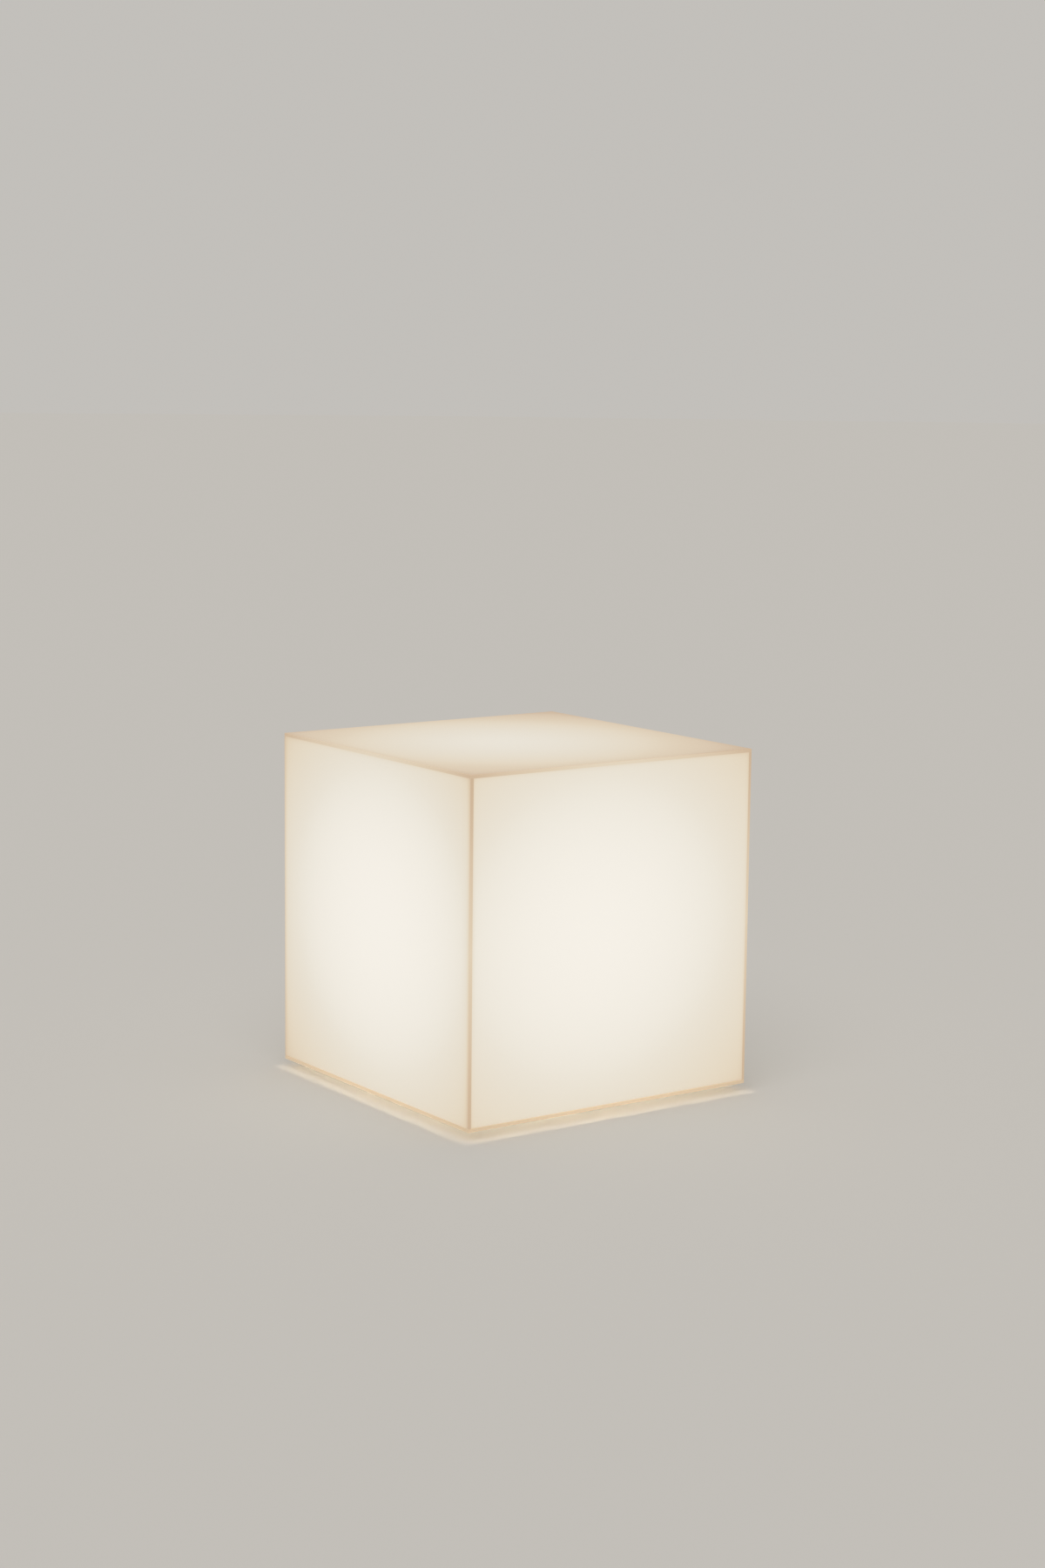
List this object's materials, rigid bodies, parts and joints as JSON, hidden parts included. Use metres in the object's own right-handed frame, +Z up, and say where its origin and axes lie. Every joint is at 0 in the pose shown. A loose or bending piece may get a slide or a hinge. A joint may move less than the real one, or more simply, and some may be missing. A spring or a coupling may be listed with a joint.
{
  "type": "led cube light",
  "caption": "Cordless cube light: a lift-off opal box on a clear base plate with rubber feet, and a battery module with a frosted globe lamp on a short mast inside.",
  "frame": {"origin": "centre of the footprint, on the floor", "axes": "+Z up; -Y is the front, the wider of the two faces in the picture; -X is the left side; the charging socket lies towards +X of the middle of the underside"},
  "size_m": [0.3, 0.3, 0.3113],
  "materials": {
    "opal_sheet": "opal white acrylic sheet, glossy, glowing warm white from inside",
    "clear_sheet": "clear acrylic sheet with polished edges",
    "clear_bar": "clear acrylic, polished",
    "foot_rubber": "black moulded rubber, matt",
    "gasket_rubber": "black silicone rubber, matt",
    "screw_steel": "plain stainless steel",
    "housing_white": "white moulded plastic, fine satin texture",
    "button_grey": "grey moulded plastic, satin",
    "board_green": "green solder mask on a fibreglass board",
    "board_white": "white solder mask on an aluminium board",
    "component_black": "black moulded plastic, matt",
    "connector_cream": "natural nylon, satin",
    "contact_metal": "nickel-plated metal",
    "cell_sleeve": "blue shrink sleeve, glossy",
    "lead_black": "black wire insulation",
    "lead_red": "red wire insulation",
    "mast_aluminium": "turned aluminium, clear anodised",
    "sink_aluminium": "machined aluminium, bead blasted",
    "nut_brass": "plain turned brass",
    "led_phosphor": "warm white LED phosphor, lit",
    "frosted_globe": "frosted opal polycarbonate, lit from inside"
  },
  "bodies": {
    "base": {"base_plate": "clear_sheet", "shade_locators": "clear_bar", "feet": "foot_rubber", "foot_screws": "screw_steel", "foot_washers": "screw_steel", "foot_nuts": "screw_steel", "module_base": "housing_white", "module_cover": "housing_white", "cover_gasket": "gasket_rubber", "cover_screws": "screw_steel", "module_screws": "screw_steel", "module_nuts": "screw_steel", "control_board": "board_green", "board_screws": "screw_steel", "board_components": "component_black", "board_connectors": "connector_cream", "power_switch": "component_black", "charge_socket": "component_black", "charge_pin": "contact_metal", "flap_pin": "screw_steel", "indicator_lens": "clear_bar", "battery_cells": "cell_sleeve", "battery_straps": "contact_metal", "lower_holder": "component_black", "upper_holder": "component_black", "holder_screws": "screw_steel", "battery_lead_black": "lead_black", "battery_lead_red": "lead_red", "mast_tube": "mast_aluminium", "mast_collar": "mast_aluminium", "mast_nut": "nut_brass", "mast_washer": "screw_steel", "heat_sink": "sink_aluminium", "set_screw": "screw_steel", "led_board": "board_white", "led_chips": "led_phosphor", "lamp_screws": "screw_steel", "lamp_lead_black": "lead_black", "lamp_lead_red": "lead_red"},
    "shade": {"top_panel": "opal_sheet", "front_wall": "opal_sheet", "back_wall": "opal_sheet", "left_wall": "opal_sheet", "right_wall": "opal_sheet"},
    "globe": {"globe": "frosted_globe"},
    "button": {"power_button": "button_grey", "switch_plunger": "component_black"},
    "flap": {"port_flap": "button_grey", "port_plug": "gasket_rubber"}
  },
  "joints": [
    {"name": "shade_lift", "type": "slide", "parent": "base", "child": "shade", "axis": [0, 0, 1], "range_m": [0, 0.22]},
    {"name": "globe_turn", "type": "hinge", "parent": "base", "child": "globe", "pos_m": [0, 0, 0.159], "axis": [0, 0, 1], "range_deg": [0, 25]},
    {"name": "button_press", "type": "slide", "parent": "base", "child": "button", "axis": [0, 0, 1], "range_m": [0, 0.0008], "stiffness_N_per_m": 1500},
    {"name": "flap_hinge", "type": "hinge", "parent": "base", "child": "flap", "pos_m": [0.0295, 0, 0.0075], "axis": [0, -1, 0], "range_deg": [0, 100]}
  ]
}
